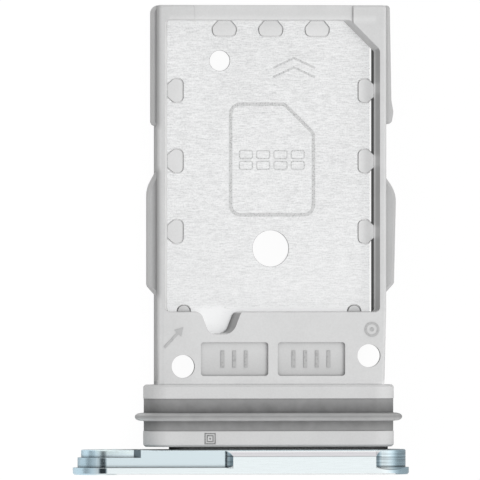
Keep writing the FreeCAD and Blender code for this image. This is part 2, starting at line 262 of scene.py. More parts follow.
plastic = {
    "colour": 0.60,
    "mottle": 0.015, "mottlePerMm": 0.7,
    "grain": 0.02, "grainPerMm": 13.0, "grainDepth": 0.002,
    "roughness": (0.45, 0.55),
    "edgeRound": 0.03,
    "shadeColour": 0.42, "cornerReach": 0.24, "cornerRange": (0.25, 0.85),   # darker in the corners
    "leftShade": 0.94, "leftRun": 2.0,        # painted shade, darker at the left
    "ribShades": (0.97, 0.76),    # painted shade on the ribs, which sit below the rails' tops
    "leftRibs": ((-2.27, 2.87), (4.94, 9.98)), "ribLead": 0.3,
    "valleyLightAndShade": (1.08, 0.68),     # painted light and shade at the foot of the left rail, lighter where bare, darker where a rib meets it
    "valleyReach": 0.22, "valleyFade": 0.005,
    "steepness": (-0.97, -0.90),     # how far a steep and a sloped wall face left
    "outerWallShade": 0.83, "outerWallSpan": (-0.03, 0.03),   # painted shade on the left outside wall between the ribs
    "sillTone": 1.09, "sillSpan": (0.0, 0.09), "sillFades": (0.05, 0.16),    # far wall, lit
    "sillFrom": 0.3,
    "headEndLight": 1.14, "headEndRun": 1.2,      # painted light on the left end of the head block
    "pocketSpan": (0.3, -0.05),      # inside the rails' outsides
    "wallShade": 0.65, "wallFacing": (-0.70, -0.85),      # painted shade on pocket walls that face left
    "footLight": 1.38, "footHeight": 0.32,    # their foot, with painted light
    "notchShades": (0.25, 0.60), "notchFacing": (-0.15, -0.50),   # painted shade on the notch's right flank, foot and above
    "notchSpan": (-0.9, -0.07), "notchFade": 0.03,
    "rightTabs": (6.45, 3.36, 0.34), "tabHalf": 0.15, "behindTabLight": 1.22,     # painted light on the wall behind the tabs
    "litWallTone": 1.15, "litFacing": (0.75, 0.90), "litSpan": (0.25, 0.60),     # pocket's left wall
    "tabLights": (1.12, 1.24),    # painted light on the tabs in the plate's cut-outs, left and right
    "tabGlow": 1.22, "tabGlowRun": 0.35,     # lit by the right wall
    # painted shade on the tabs' rims
    "tabRimShade": 0.38, "tabRimWidth": 0.055, "tabRimRange": (0.985, 0.88),
    "tabPlay": 0.004, "tabFade": 0.003,
    "gapShade": 0.10,       # painted shade deep in the narrow gap beside the plate
    "fieldShades": (0.82, 0.95), "fieldRun": (0.5, 1.4),      # painted shade in the sunk marking fields, near and far end
    "fieldSpan": (0.2, 2.0), "fieldDepths": (-0.13, -0.05), "fieldFade": 0.04,
    "deckTone": 1.04, "deckFootLight": 1.14, "deckFoot": (0.06, 0.15),    # the deck a little lighter, with painted light at its foot by the head block
}


def greyPlastic():
    s = plastic
    material, tree = newMaterial("moulded grey plastic")
    place = placeInMm(tree)
    across, along, up = axesOf(tree, place)
    fromMiddle = apart(tree, up, middleZ)
    sideways = axesOf(tree, facingOf(tree))[0]
    mottle = noise(tree, place, s["mottlePerMm"], 3.0)
    grain = noise(tree, place, s["grainPerMm"], 4.0, 0.6)
    level = mathNode(tree, "ADD",
                     varied(tree, mottle, s["colour"] - s["mottle"], s["colour"] + s["mottle"]),
                     varied(tree, grain, -s["grain"], s["grain"]))
    beforeHead = past(tree, along, deckEnd - sharp, deckEnd + sharp)

    # painted shade on the ribs outside the rails, and a gentle painted shade towards the left
    outside = without(tree, within(tree, across, railLeft, railRight, soft))
    ribShade = spread(tree, across, railLeft, railRight, *s["ribShades"])
    level = toned(tree, level, times(tree, outside, beforeHead), ribShade)
    leftShade = spread(tree, across, railLeft, railLeft + s["leftRun"], s["leftShade"], 1.0, smooth=True)
    level = toned(tree, level, beforeHead, leftShade)

    # painted light and shade at the foot and on the outside wall of the left rail
    besideRib = mathNode(tree, "MAXIMUM", *[
        within(tree, along, near, far, s["ribLead"]) for near, far in s["leftRibs"]])
    steep, sloped = s["steepness"]
    valleyEnd = railLeft + s["valleyReach"]
    valley = within(tree, across, railLeft - s["valleyFade"], valleyEnd, s["valleyFade"])
    valleyShading = spread(tree, across, railLeft, valleyEnd, chosen(tree, besideRib, *s["valleyLightAndShade"]), 1.0)
    valley = times(tree, times(tree, valley, beforeHead),
                   mathNode(tree, "MAXIMUM", besideRib, past(tree, sideways, steep, sloped)))
    level = toned(tree, level, valley, valleyShading)
    outerWall = times(tree, within(tree, across, *spanFrom(railLeft, s["outerWallSpan"]), sharp),
                      past(tree, sideways, sloped, steep))
    outerWall = times(tree, outerWall, times(tree, beforeHead, without(tree, besideRib)))
    level = toned(tree, level, outerWall, s["outerWallShade"])

    # painted light on the far wall of the pocket and on the head block's left end
    sideFade, farFade = s["sillFades"]
    sill = times(tree, within(tree, across, plateLow.x + s["sillFrom"], pocketRight, sideFade),
                 within(tree, along, *spanFrom(pocketEnd, s["sillSpan"]), farFade))
    level = toned(tree, level, sill, s["sillTone"])
    headEnd = spread(tree, across, sealLow.x, sealLow.x + s["headEndRun"], 1.0, 0.0, smooth=True)
    headEnd = times(tree, headEnd, chosen(tree, beforeHead, 1.0, 0.0))
    level = toned(tree, level, headEnd, s["headEndLight"])

    # painted shade on pocket walls that face left, with painted light at their foot
    fromLeft, fromRight = s["pocketSpan"]
    inPocket = within(tree, across, railLeft + fromLeft, railRight + fromRight, soft)
    inNotch = within(tree, along, *spanFrom(pocketStart, s["notchSpan"]), s["notchFade"])
    facings = [chosen(tree, inNotch, *pair) for pair in zip(s["wallFacing"], s["notchFacing"])]
    facesLeft = times(tree, past(tree, sideways, *facings), inPocket)
    footEnd = plateHalf + s["footHeight"]
    foot = spread(tree, fromMiddle, plateHalf, footEnd, s["footLight"], s["wallShade"], smooth=True)
    notchFoot = spread(tree, fromMiddle, plateHalf, footEnd, *s["notchShades"])
    foot = chosen(tree, inNotch, foot, notchFoot)
    half = s["tabHalf"]
    for tabMiddle in s["rightTabs"]:
        behindTabLight = within(tree, along, tabMiddle - half, tabMiddle + half, half)
        foot = toned(tree, foot, behindTabLight, s["behindTabLight"])
    level = toned(tree, level, times(tree, facesLeft, beforeHead), foot)
    facesRight = times(tree, past(tree, sideways, *s["litFacing"]),
                       within(tree, across, *spanFrom(railLeft, s["litSpan"]), sharp))
    level = toned(tree, level, facesRight, s["litWallTone"])

    # tabs at the plate's height: painted light on their faces, painted shade on their rims
    atPlate = times(tree, inPocket, within(tree, fromMiddle, 0.0, plateHalf + s["tabPlay"], s["tabFade"]))
    tabGlow = spread(tree, across, pocketRight - s["tabGlowRun"], pocketRight,
                     1.0, s["tabGlow"], smooth=True)
    tabLight = times(tree, spread(tree, across, railLeft, railRight, *s["tabLights"]), tabGlow)
    level = toned(tree, level, atPlate, tabLight)
    rimShade = spread(tree, flatness(tree, s["tabRimWidth"]), *s["tabRimRange"], 1.0, s["tabRimShade"])
    level = toned(tree, level, atPlate, rimShade)
    tabLine = times(tree, atPlate, halfRoundLine(tree, across, along))
    level = toned(tree, level, tabLine, halfRoundTabs["lineTone"])
    # painted shade deep in the gap beside the plate
    inGap = times(tree, within(tree, across, plateHigh.x - sharp, pocketRight, sharp),
                  within(tree, fromMiddle, 0.0, plateHalf - soft, sharp))
    level = chosen(tree, inGap, level, s["gapShade"])

    # painted shade in the sunk marking fields, and the deck round them lighter, with painted light at its
    # foot
    sunk = times(tree, within(tree, along, *spanFrom(deckEnd, s["fieldSpan"]), sharp),
                 within(tree, up, *spanFrom(deckTop, s["fieldDepths"]), s["fieldFade"]))
    fieldShade = spread(tree, along, *spanFrom(deckEnd, s["fieldRun"]), *s["fieldShades"])
    level = toned(tree, level, sunk, fieldShade)
    onDeck = times(tree, inPocket, within(tree, along, deckEnd + sharp, pocketStart, soft))
    deckTone = spread(tree, along, *spanFrom(deckEnd, s["deckFoot"]), s["deckFootLight"], s["deckTone"])
    level = toned(tree, level, onDeck, deckTone)

    corners = spread(tree, openness(tree, s["cornerReach"]), *s["cornerRange"],
                     s["shadeColour"] / s["colour"], 1.0)
    level = times(tree, level, chosen(tree, atPlate, corners, 1.0))
    normal = bumped(tree, grain, s["grainDepth"], 0.5, roundedNormal(tree, s["edgeRound"], 6))
    finishSurface(tree, greyOf(tree, level), varied(tree, grain, *s["roughness"]), normal=normal)
    return material


steel = {
    "colour": 0.885, "nearLight": 0.02,     # painted light, brighter towards the deck and darker towards the leading rail
    "streak": 0.17, "streakPerMm": (3.6, 30.0, 1),       # along the grain, across it
    "nearCalm": 0.72, "calmRun": 5.0,        # the streaks are fainter near the deck
    "grain": 0.09, "grainPerMm": 16.0, "grainDepth": 0.0012,
    "cloud": 0.02, "cloudPerMm": 0.35,
    "fleck": 0.16, "fleckPerMm": (2.6, 16.0, 1), "fleckRange": (0.66, 0.78),
    # painted shade on the plate's rims round holes and cut-outs
    "rimShade": 0.42, "rimWidth": 0.05, "rimRange": (0.99, 0.88), "rimMetalRange": (0.99, 0.93),
    "farGlow": 1.18, "rightGlow": 1.10, "nearGlow": 1.2,     # lit by the pocket's walls and the deck's edge
    "endGlowRun": 0.35, "rightGlowRun": 0.40,
    "notchTone": 0.45, "notchReach": 0.11,       # shade before the notch's right flank
    "notchSpan": (-0.85, 0.3), "notchFade": 0.1, "notchFrom": (-0.05, 0.0), "notchRange": (0.5, 0.95),
    "bareEdge": 0.065, "bareHighlight": 0.93, "bareRoughness": 0.08,      # sheared edge on the right, shinier, with a painted highlight
    "roughness": (0.30, 0.42),
    "metallic": 0.75,
}


def brushedSteel():
    s = steel
    material, tree = newMaterial("brushed steel sheet")
    place = placeInMm(tree)
    across, along = axesOf(tree, place)[:2]
    streak = noise(tree, placeInMm(tree, s["streakPerMm"]), 1.0, 3.0, 0.6)
    speck = noise(tree, placeInMm(tree, s["fleckPerMm"]), 1.0, 2.0)
    cloud = noise(tree, place, s["cloudPerMm"], 3.0)
    grain = noise(tree, place, s["grainPerMm"], 1.0)
    streaked = mathNode(tree, "ADD", spread(tree, streak, 0.25, 0.75, -s["streak"], s["streak"]),
                        spread(tree, grain, 0.25, 0.75, -s["grain"], s["grain"]))
    streaked = times(tree, streaked, spread(
        tree, along, pocketStart, pocketStart + s["calmRun"], s["nearCalm"], 1.0, smooth=True))
    level = mathNode(tree, "ADD", streaked,
                     varied(tree, cloud, s["colour"] - s["cloud"], s["colour"] + s["cloud"]))
    level = mathNode(tree, "ADD", level,
                     spread(tree, along, plateLow.y, plateHigh.y, s["nearLight"], -s["nearLight"]))
    level = mathNode(tree, "SUBTRACT", level, spread(tree, speck, *s["fleckRange"], 0.0, s["fleck"]))
    glows = [(along, pocketEnd - s["endGlowRun"], pocketEnd, 1.0, s["farGlow"]),
             (across, plateHigh.x - s["rightGlowRun"], plateHigh.x, 1.0, s["rightGlow"]),
             (along, pocketStart, pocketStart + s["endGlowRun"], s["nearGlow"], 1.0)]
    for glow in glows:
        level = times(tree, level, spread(tree, *glow, smooth=True))
    # painted shade where the plate's rims turn
    flat = flatness(tree, s["rimWidth"])
    level = times(tree, level, spread(tree, flat, *s["rimRange"], 1.0, s["rimShade"]))
    level = toned(tree, level, halfRoundLine(tree, across, along), halfRoundTabs["lineTone"])
    inNotch = times(tree, within(tree, across, *s["notchSpan"], s["notchFade"]),
                    spread(tree, along, *spanFrom(pocketStart, s["notchFrom"]), 1.0, 0.0))
    notchTone = spread(tree, openness(tree, s["notchReach"]), *s["notchRange"], s["notchTone"], 1.0)
    level = toned(tree, level, inNotch, notchTone)
    bareFrom = plateHigh.x - s["bareEdge"]
    bare = past(tree, across, bareFrom - sharp, bareFrom)
    level = chosen(tree, bare, level, s["bareHighlight"])
    metallic = spread(tree, flat, *s["rimMetalRange"], s["metallic"], 0.0)
    metallic = chosen(tree, bare, metallic, 1.0)
    rough = chosen(tree, bare, varied(tree, streak, *s["roughness"]), s["bareRoughness"])
    finishSurface(tree, greyOf(tree, level), rough, metallic, bumped(tree, streak, s["grainDepth"], 0.4))
    return material


silicone = {
    "band": 0.255,
    "deckSideShade": 0.50, "capSideShade": 0.68,   # painted shade, how far the band darkens towards the lip
    "bandEdge": 0.1,
    # painted light: the lip is lighter than the band, with painted highlights on its flanks round a darker
    # crest
    "lip": 0.43,
    "crest": 0.29, "crestSpan": (0.035, 0.105),      # from the lip's middle
    "lipSideShading": (1.08, 0.94),    # painted light and shade on the lip's sides, towards the cap, towards the deck
    "lipEndTone": 1.5, "lipEndSpan": (0.1, 0.8),     # paler at the lip's left end
    "dust": 0.02, "dustPerMm": 2.2,
    "grainPerMm": 14.0, "grainDepth": 0.003,
    "roughness": 0.62,
}


def sealSilicone():
    s = silicone
    material, tree = newMaterial("grey silicone")
    place = placeInMm(tree)
    dust = noise(tree, place, s["dustPerMm"], 4.0)
    grain = noise(tree, place, s["grainPerMm"], 3.0)
    across, along = axesOf(tree, place)[:2]
    fromCrest = apart(tree, along, sealLipMiddle)
    # painted highlights on the lip's flanks round a darker crest
    lip = spread(tree, fromCrest, *s["crestSpan"], s["crest"], s["lip"])
    onLip = past(tree, fromCrest, sealLipHalf + sharp, sealLipHalf - sharp)
    # painted shade on the band towards the lip
    deckSide = spread(tree, along, sealLipMiddle + sealLipHalf, sealHigh.y - s["bandEdge"],
                      s["deckSideShade"], 1.0)
    capSide = spread(tree, along, sealLipMiddle - sealLipHalf, sealLow.y + s["bandEdge"],
                     s["capSideShade"], 1.0)
    beyond = past(tree, along, sealLipMiddle - sharp, sealLipMiddle + sharp)
    band = times(tree, s["band"], chosen(tree, beyond, capSide, deckSide))
    lip = times(tree, lip, spread(
        tree, across, *spanFrom(sealLow.x, s["lipEndSpan"]), s["lipEndTone"], 1.0, smooth=True))
    lip = times(tree, lip, chosen(tree, beyond, *s["lipSideShading"]))
    level = mathNode(tree, "ADD", chosen(tree, onLip, band, lip),
                     varied(tree, dust, -s["dust"], s["dust"]))
    normal = bumped(tree, grain, s["grainDepth"], 0.4)
    finishSurface(tree, greyOf(tree, level), s["roughness"], normal=normal)
    return material


foam = {
    "colour": 0.052,
    "poresPerMm": 16.0, "poreSize": 0.7, "poreTones": (0.5, 2), "poreDepth": 0.01,
    "roughness": 0.85,
}


def gasketFoam():
    s = foam
    material, tree = newMaterial("black foam")
    pores = addNode(tree, "ShaderNodeTexVoronoi", {
        "Vector": placeInMm(tree), "Scale": s["poresPerMm"]}).outputs["Distance"]
    level = spread(tree, pores, 0.0, s["poreSize"], *[s["colour"] * tone for tone in s["poreTones"]])
    normal = bumped(tree, pores, s["poreDepth"], 0.6)
    finishSurface(tree, greyOf(tree, level), s["roughness"], normal=normal)
    return material


aluminium = {
    "colour": (0.82, 0.885, 0.90),
    "endShadeColour": (0.62, 0.82, 0.93), "endFacing": (0.1, 0.6),        # painted shade, darker and bluer on the rounded ends
    "stepShadeColour": (0.78, 0.89, 0.93), "stepShade": 0.94,      # and on the lower steps, which are rougher and have painted shade
    "stepDepths": (-0.15, -0.05),
    "streak": 0.06, "streakPerMm": (1.6, 16.0, 16.0), "grainDepth": 0.001,
    "roughness": (0.27, 0.08), "roughFrom": 0.7, "roughVary": 0.03,      # lowest step, top
    # painted highlights on the rounded edges
    "edgeRound": 0.022, "edgeHighlight": 1.12, "edgeTurn": (0.99, 0.85),
    "rootShade": 0.20, "rootReach": 0.20, "rootRange": (0.50, 0.90),      # painted shade where a step meets the next
    # painted shade on the boss's sloped ends
    "bossEnds": (-0.495, 5.635), "endRun": 0.34, "endShades": (0.49, 0.72),
    "bossDepths": (-0.195, -0.18), "barDepths": (-0.19, -0.18),
    "endStreakPerMm": (0.4, 13.0, 0.4), "endStreakTones": (0.76, 1.26),      # the cutter's lines
    "endStreakRange": (0.36, 0.64),
    "barFrom": 0.1, "rightEndShade": 0.78,       # painted shade on the bar beyond the boss's right end
    # painted shade on the bar's left end
    "leftShade": 0.86, "leftRun": 0.85,
    "glint": (6.22, 6.42), "glintTone": 1.18, "glintFade": 0.18,     # middle of the bar's right end
    # painted light on the relief's floor, painted shade at its end
    "reliefSpan": (-0.34, -0.32), "reliefFloorLight": 1.22, "reliefPlay": 0.04,
    "reliefEnd": -4.42, "reliefRun": 0.26, "reliefShade": 0.30,
    "slopeReflectionColour": (0.70, 0.69, 0.715), "slopeFacing": (0.2, 0.5),   # painted reflection, greyer on the sloped back
    "backHighlightColour": (0.93, 0.94, 0.95), "backEdge": (-0.12, -0.10),    # its rear edge has a painted highlight
    "backCut": 0.25,         # the sloped back cuts across the boss's ends
    "creaseShade": 0.62, "creaseSpan": (-0.30, -0.27),        # painted shade, a dark line in front of the sloped back
    "scoop": 0.11, "scoopRight": 7.0, "scoopShades": (0.34, 0.80),    # painted shade of the cutter's hollow in the flange
    "scoopEnds": (0.05, 0.75), "scoopFade": 0.005,
    "frontHighlightColour": (0.93, 0.95, 0.96), "frontMetal": 0.35,   # painted highlight on the flange's front edge
    "frontEdge": (0.045, 0.065), "frontEnds": (1.75, -0.75), "frontFade": 0.1, "frontFacing": (0.2, 0.5),
}


def blueAluminium():
    s = aluminium
    material, tree = newMaterial("pale blue anodised aluminium")
    across, along, up = axesOf(tree, placeInMm(tree))
    streak = noise(tree, placeInMm(tree, s["streakPerMm"]), 1.0, 4.0, 0.6)
    facing = facingOf(tree)
    sideways, lengthways, upright = axesOf(tree, facing)
    fromMiddle = apart(tree, up, middleZ)

    # the cap's parts, told apart by their height and place
    behindFlange = past(tree, along, flangeBack, flangeBack + soft)
    onBoss = times(tree, behindFlange, past(tree, fromMiddle, *spanFrom(capTopHalf, s["bossDepths"])))
    onBar = times(tree, behindFlange,
                  spread(tree, fromMiddle, *spanFrom(capTopHalf, s["barDepths"]), 1.0, 0.0))
    onStep = spread(tree, fromMiddle, *spanFrom(capTopHalf, s["stepDepths"]), 1.0, 0.0)
    onRelief = past(tree, along, *spanFrom(capBack, s["reliefSpan"]))
    onSlope = times(tree, onBoss, past(tree, lengthways, *s["slopeFacing"]))
    atEnd = spread(tree, mathNode(tree, "ABSOLUTE", sideways), *s["endFacing"], 0.0, 1.0, smooth=True)

    # painted shade on the lower steps and the rounded ends
    tint = blendColour(tree, onStep, (*s["colour"], 1), (*s["stepShadeColour"], 1))
    tint = blendColour(tree, atEnd, tint, (*s["endShadeColour"], 1))
    # painted reflection on the sloped back, with a painted highlight at its rear edge
    atBack = past(tree, along, *spanFrom(capBack, s["backEdge"]))
    slopeReflection = blendColour(tree, atBack, (*s["slopeReflectionColour"], 1), (*s["backHighlightColour"], 1))
    tint = blendColour(tree, onSlope, tint, slopeReflection)
    # painted shade where a step meets the next
    tone = spread(tree, openness(tree, s["rootReach"]), *s["rootRange"], s["rootShade"], 1.0)
    tone = times(tree, tone, varied(tree, streak, 1.0 - s["streak"], 1.0))
    tone = toned(tree, tone, onStep, s["stepShade"])

    # painted shade on the ends of the boss, the bar and the relief, and painted light on the relief's floor
    left, right = s["bossEnds"]
    cutLine = spread(tree, across, left - s["endRun"], left, capBack, capBack - s["backCut"])
    belowCut = times(tree, onBoss, mathNode(tree, "LESS_THAN", along, cutLine))
    reliefStart = s["reliefEnd"] - s["reliefRun"]
    cutterLines = spread(tree, noise(tree, placeInMm(tree, s["endStreakPerMm"]), 1.0, 2.0),
                         *s["endStreakRange"], *s["endStreakTones"])
    ends = [(left - s["endRun"], left, belowCut, s["endShades"][0], cutterLines),
            (right, right + s["endRun"], onBoss, s["endShades"][1], cutterLines),
            (right + s["barFrom"], capHigh.x, onBar, s["rightEndShade"], cutterLines),
            (capLow.x, capLow.x + s["leftRun"], onBar, s["leftShade"], 1.0),
            (capLow.x, reliefStart - s["reliefPlay"], onRelief, s["reliefFloorLight"], 1.0),
            (reliefStart, s["reliefEnd"], onRelief, s["reliefShade"], 1.0)]
    for low, high, zone, endShading, lines in ends:
        here = times(tree, zone, within(tree, across, low, high, soft))
        tone = toned(tree, tone, here, times(tree, endShading, lines))
    glint = times(tree, onBar, within(tree, across, *s["glint"], s["glintFade"]))
    tone = toned(tree, tone, glint, s["glintTone"])

    # painted shade in the crescent that the cutter left in the flange, and a painted dark line before the
    # sloped back
    inScoop = spread(tree, across, right, s["scoopRight"], -1.0, 1.0)
    scoopDepth = times(tree, s["scoop"], without(tree, times(tree, inScoop, inScoop)))
    overScoop = mathNode(tree, "SUBTRACT", along, mathNode(tree, "SUBTRACT", flangeBack, scoopDepth))
    hollow = times(tree, past(tree, overScoop, -sharp, sharp),
                   spread(tree, along, flangeBack, flangeBack + s["scoopFade"], 1.0, 0.0))
    fromEnd, toEnd = spanFrom(right, s["scoopEnds"])
    hollow = times(tree, hollow, times(tree, past(tree, across, right, fromEnd),
                                       spread(tree, across, toEnd, s["scoopRight"], 1.0, 0.0)))
    tone = toned(tree, tone, hollow, spread(tree, overScoop, 0.0, s["scoop"], *s["scoopShades"]))
    crease = times(tree, onBoss, within(tree, along, *spanFrom(capBack, s["creaseSpan"]), sharp))
    tone = toned(tree, tone, crease, s["creaseShade"])

    rounded = roundedNormal(tree, s["edgeRound"], 6)
    # painted highlights where the edges round over
    turned = addNode(tree, "ShaderNodeVectorMath", {0: facing, 1: rounded},
                     operation="DOT_PRODUCT").outputs["Value"]
    tone = times(tree, tone, spread(tree, turned, *s["edgeTurn"], 1.0, s["edgeHighlight"]))
    colour = addNode(tree, "ShaderNodeVectorMath", {0: tint, "Scale": tone}, operation="SCALE")
    # painted highlight on the flange's front edge, which is also less metallic
    atFront = times(tree, past(tree, mathNode(tree, "ABSOLUTE", upright), *s["frontFacing"]),
                    spread(tree, along, *spanFrom(capLow.y, s["frontEdge"]), 1.0, 0.0))
    fromLeft, fromRight = s["frontEnds"]
    atFront = times(tree, atFront, within(
        tree, across, capLow.x + fromLeft, capHigh.x + fromRight, s["frontFade"]))
    colour = blendColour(tree, atFront, colour.outputs["Vector"], (*s["frontHighlightColour"], 1))
    rough = mathNode(tree, "ADD", varied(tree, streak, -s["roughVary"], s["roughVary"]),
                     spread(tree, fromMiddle, capTopHalf * s["roughFrom"], capTopHalf, *s["roughness"]))
    finishSurface(tree, colour, rough, chosen(tree, atFront, 1.0, s["frontMetal"]),
                  bumped(tree, streak, s["grainDepth"], 0.3, rounded))
    return material


def speckledMark(name, level, dark, dotsPerMm, roughness, metallic=0.0):
    # fine dots, as a laser or a worn mould leaves them
    material, tree = newMaterial(name)
    dots = addNode(tree, "ShaderNodeTexVoronoi", {
        "Vector": placeInMm(tree), "Scale": dotsPerMm}).outputs["Distance"]
    tone = spread(tree, dots, 0.2, 0.5, dark, level)
    finishSurface(tree, greyOf(tree, tone), roughness, metallic)
    return material


# water seal: a band in the head block's groove with one rounded lip

sealShape = {
    "lipHeight": 0.38,       # over the band
    "bandDepth": 0.28,       # the band's foot in the groove, under its surface
    "lipFromDeck": 0.61, "lipWidth": 0.34,
    "lipFullness": 2.3,      # 2 is an ellipse, more is fuller
    "lipPoints": 14,
    "footRadius": 0.035, "footTurn": 80, "footSteps": 3,     # where the lip rises from the band
    "bandRadius": 0.015, "bandSteps": 4,     # the band's rounded edges
    "endGap": 0.003,
    "turnSteps": 30,         # round each end of the pill
}
sealLipMiddle = sealHigh.y - sealShape["lipFromDeck"] - sealShape["lipWidth"] / 2
sealLipHalf = sealShape["lipWidth"] / 2


def turnsTo(degrees, steps):
    return [math.radians(degrees * step / steps) for step in range(steps + 1)]


def sealSide(end, inwards, root, band):
    # the band's rounded edge and the lip's foot on one side, from outside in
    s = sealShape
    side = [(end, root)]
    for turn in turnsTo(90, s["bandSteps"]):
        side.append((end + inwards * s["bandRadius"] * (1 - math.cos(turn)),
                     band - s["bandRadius"] * (1 - math.sin(turn))))
    for turn in turnsTo(s["footTurn"], s["footSteps"]):
        fromCrest = sealLipHalf + s["footRadius"] * (1 - math.sin(turn))
        side.append((sealLipMiddle - inwards * fromCrest, band + s["footRadius"] * (1 - math.cos(turn))))
    return side


def sealProfile():
    # (place along Y, distance from the pill's spine), from the cap's side towards the deck
    s = sealShape
    crest = (sealHigh.z - sealLow.z) / 2
    band = crest - s["lipHeight"]
    root = band - s["bandDepth"]
    base = band + s["footRadius"]
    power = 2 / s["lipFullness"]
    lip = []
    for step in range(1, s["lipPoints"]):
        turn = math.pi * step / s["lipPoints"]
        side = math.copysign(abs(math.cos(turn)) ** power, -math.cos(turn))
        lip.append((sealLipMiddle + sealLipHalf * side,
                    base + (crest - base) * math.sin(turn) ** power))
    capSide = sealSide(sealLow.y + s["endGap"], 1, root, band)
    deckSide = sealSide(sealHigh.y - s["endGap"], -1, root, band)
    return capSide + lip + deckSide[::-1]


def makeSeal():
    crest = (sealHigh.z - sealLow.z) / 2
    halfSpine = (sealHigh.x - sealLow.x) / 2 - crest
    centreX = (sealHigh.x + sealLow.x) / 2
    steps = sealShape["turnSteps"]
    stations = []    # place on the spine, and direction out of it
    for side in (1, -1):
        for step in range(steps + 1):
            turn = math.pi * step / steps
            stations.append((centreX + side * halfSpine, side * math.sin(turn), side * math.cos(turn)))
    mesh = bpy.data.meshes.new("seal_with_lip")
    work = bmesh.new()
    rings = []
    for spineX, outX, outZ in stations:
        rings.append([work.verts.new(Vector((spineX + outX * out, y, middleZ + outZ * out)) * mm)
                      for y, out in sealProfile()])
    for i, ring in enumerate(rings):
        following = rings[(i + 1) % len(rings)]
        for k in range(len(ring)):
            m = (k + 1) % len(ring)
            face = work.faces.new((ring[k], ring[m], following[m], following[k]))
            face.smooth = m != 0
    bmesh.ops.recalc_face_normals(work, faces=work.faces)
    work.to_mesh(mesh)
    work.free()
    seal = bpy.data.objects.new("seal_with_lip", mesh)
    bpy.context.scene.collection.objects.link(seal)
    mesh.materials.append(sealSilicone())
    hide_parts("water_seal")
    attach(seal, "root")


makeSeal()
print("water seal swept")

finishes = {
    "tray_frame": greyPlastic(),
    "card_plate": brushedSteel(),
    "cap_gasket": gasketFoam(),
    "metal_cap": blueAluminium(),
}
for nodeName, material in finishes.items():
    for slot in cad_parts[nodeName].material_slots:
        slot.material = material
print("materials on", len(finishes), "nodes")


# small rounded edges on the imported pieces

softEdges = {
    "tray_frame": {"width": 0.034, "segments": 2, "angle": 35},
    "card_plate": {"width": 0.006, "segments": 2, "angle": 35},
    "metal_cap": {"width": 0.016, "segments": 2, "angle": 30},
    "cap_gasket": {"width": 0.02, "segments": 2, "angle": 50},
}
creaseAngle = 20     # degrees, flatter joints between faces are shaded round
flatAngle = 0.4      # degrees, faces as level as this are joined


def joinedSurface():
    # joins the faces and lets only true corners stay sharp
    tree = bpy.data.node_groups.new("joined surface", "GeometryNodeTree")
    tree.interface.new_socket("Geometry", in_out="INPUT", socket_type="NodeSocketGeometry")
    tree.interface.new_socket("Geometry", in_out="OUTPUT", socket_type="NodeSocketGeometry")
    start = addNode(tree, "NodeGroupInput")
    joined = addNode(tree, "GeometryNodeMergeByDistance", {
        "Geometry": start.outputs[0], "Distance": 1e-4 * mm})
    plain = addNode(tree, "GeometryNodeRemoveAttribute", {
        "Geometry": joined.outputs[0], "Name": "custom_normal"})
    smoothed = addNode(tree, "GeometryNodeSetShadeSmooth", {"Geometry": plain.outputs[0]}, domain="FACE")
    bend = addNode(tree, "GeometryNodeInputMeshEdgeAngle").outputs["Unsigned Angle"]
    flat = addNode(tree, "FunctionNodeCompare", {0: bend, 1: math.radians(creaseAngle)},
                   operation="LESS_THAN")
    creased = addNode(tree, "GeometryNodeSetShadeSmooth", {
        "Geometry": smoothed.outputs[0], "Shade Smooth": flat.outputs[0]}, domain="EDGE")
    addNode(tree, "NodeGroupOutput", {0: creased.outputs[0]})
    return tree


def soften(node, surface, width, segments, angle):
    joined = node.modifiers.new("joined", "NODES")
    joined.node_group = surface
    flats = node.modifiers.new("flats", "DECIMATE")
    flats.decimate_type = "DISSOLVE"
    flats.angle_limit = math.radians(flatAngle)
    edges = node.modifiers.new("edges", "BEVEL")
    edges.width = width * mm
    edges.segments = segments
    edges.limit_method = "ANGLE"
    edges.angle_limit = math.radians(angle)
    edges.miter_outer = "MITER_ARC"
    shading = node.modifiers.new("shading", "WEIGHTED_NORMAL")
    shading.keep_sharp = True


surface = joinedSurface()
for nodeName, settings in softEdges.items():
    soften(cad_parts[nodeName], surface, **settings)
print("edges softened on", len(softEdges), "nodes")


# marks: thin flat shapes laid on the plate, the deck and the head block

def roundedPath(corners, steps=6):
    # closed outline with an arc at each (x, y, radius)
    path = []
    count = len(corners)
    for i, (x, y, radius) in enumerate(corners):
        point = Vector((x, y))
        before = (Vector(corners[i - 1][:2]) - point).normalized()
        after = (Vector(corners[(i + 1) % count][:2]) - point).normalized()
        if radius <= 0:
            path.append(point)
            continue
        half = before.angle(after) / 2
        centre = point + (before + after).normalized() * (radius / math.sin(half))
        start = point + before * (radius / math.tan(half)) - centre
        end = point + after * (radius / math.tan(half)) - centre
        turn = start.angle_signed(end)
        for step in range(steps + 1):
            c, s = math.cos(-turn * step / steps), math.sin(-turn * step / steps)
            path.append(centre + Vector((start.x * c - start.y * s, start.x * s + start.y * c)))
    return path


def stroke(path, width, closed=False):
    # quads along a path, as [left, right, right of the next, left of the next]
    count = len(path)
    sides = []
    for i, point in enumerate(path):
        before = path[i - 1] if closed or i > 0 else None
        after = path[(i + 1) % count] if closed or i < count - 1 else None
        along = ((after or point) - (before or point)).normalized()
        across = Vector((-along.y, along.x))
        reach = width / 2
        if before and after:
            bend = (point - before).normalized().dot(along)
            reach = reach / max(bend, 0.5)
        sides.append((point + across * reach, point - across * reach))
    last = count if closed else count - 1
    return [[*sides[i], sides[(i + 1) % count][1], sides[(i + 1) % count][0]] for i in range(last)]


def boxCorners(x, y, halfWidth, halfHeight, radius):
    return [(x + side * halfWidth, y + end * halfHeight, radius)
            for side, end in ((-1, -1), (1, -1), (1, 1), (-1, 1))]


def discOf(x, y, radius, steps=24):
    turns = [math.tau * i / steps for i in range(steps)]
    return [Vector((x + radius * math.cos(turn), y + radius * math.sin(turn))) for turn in turns]


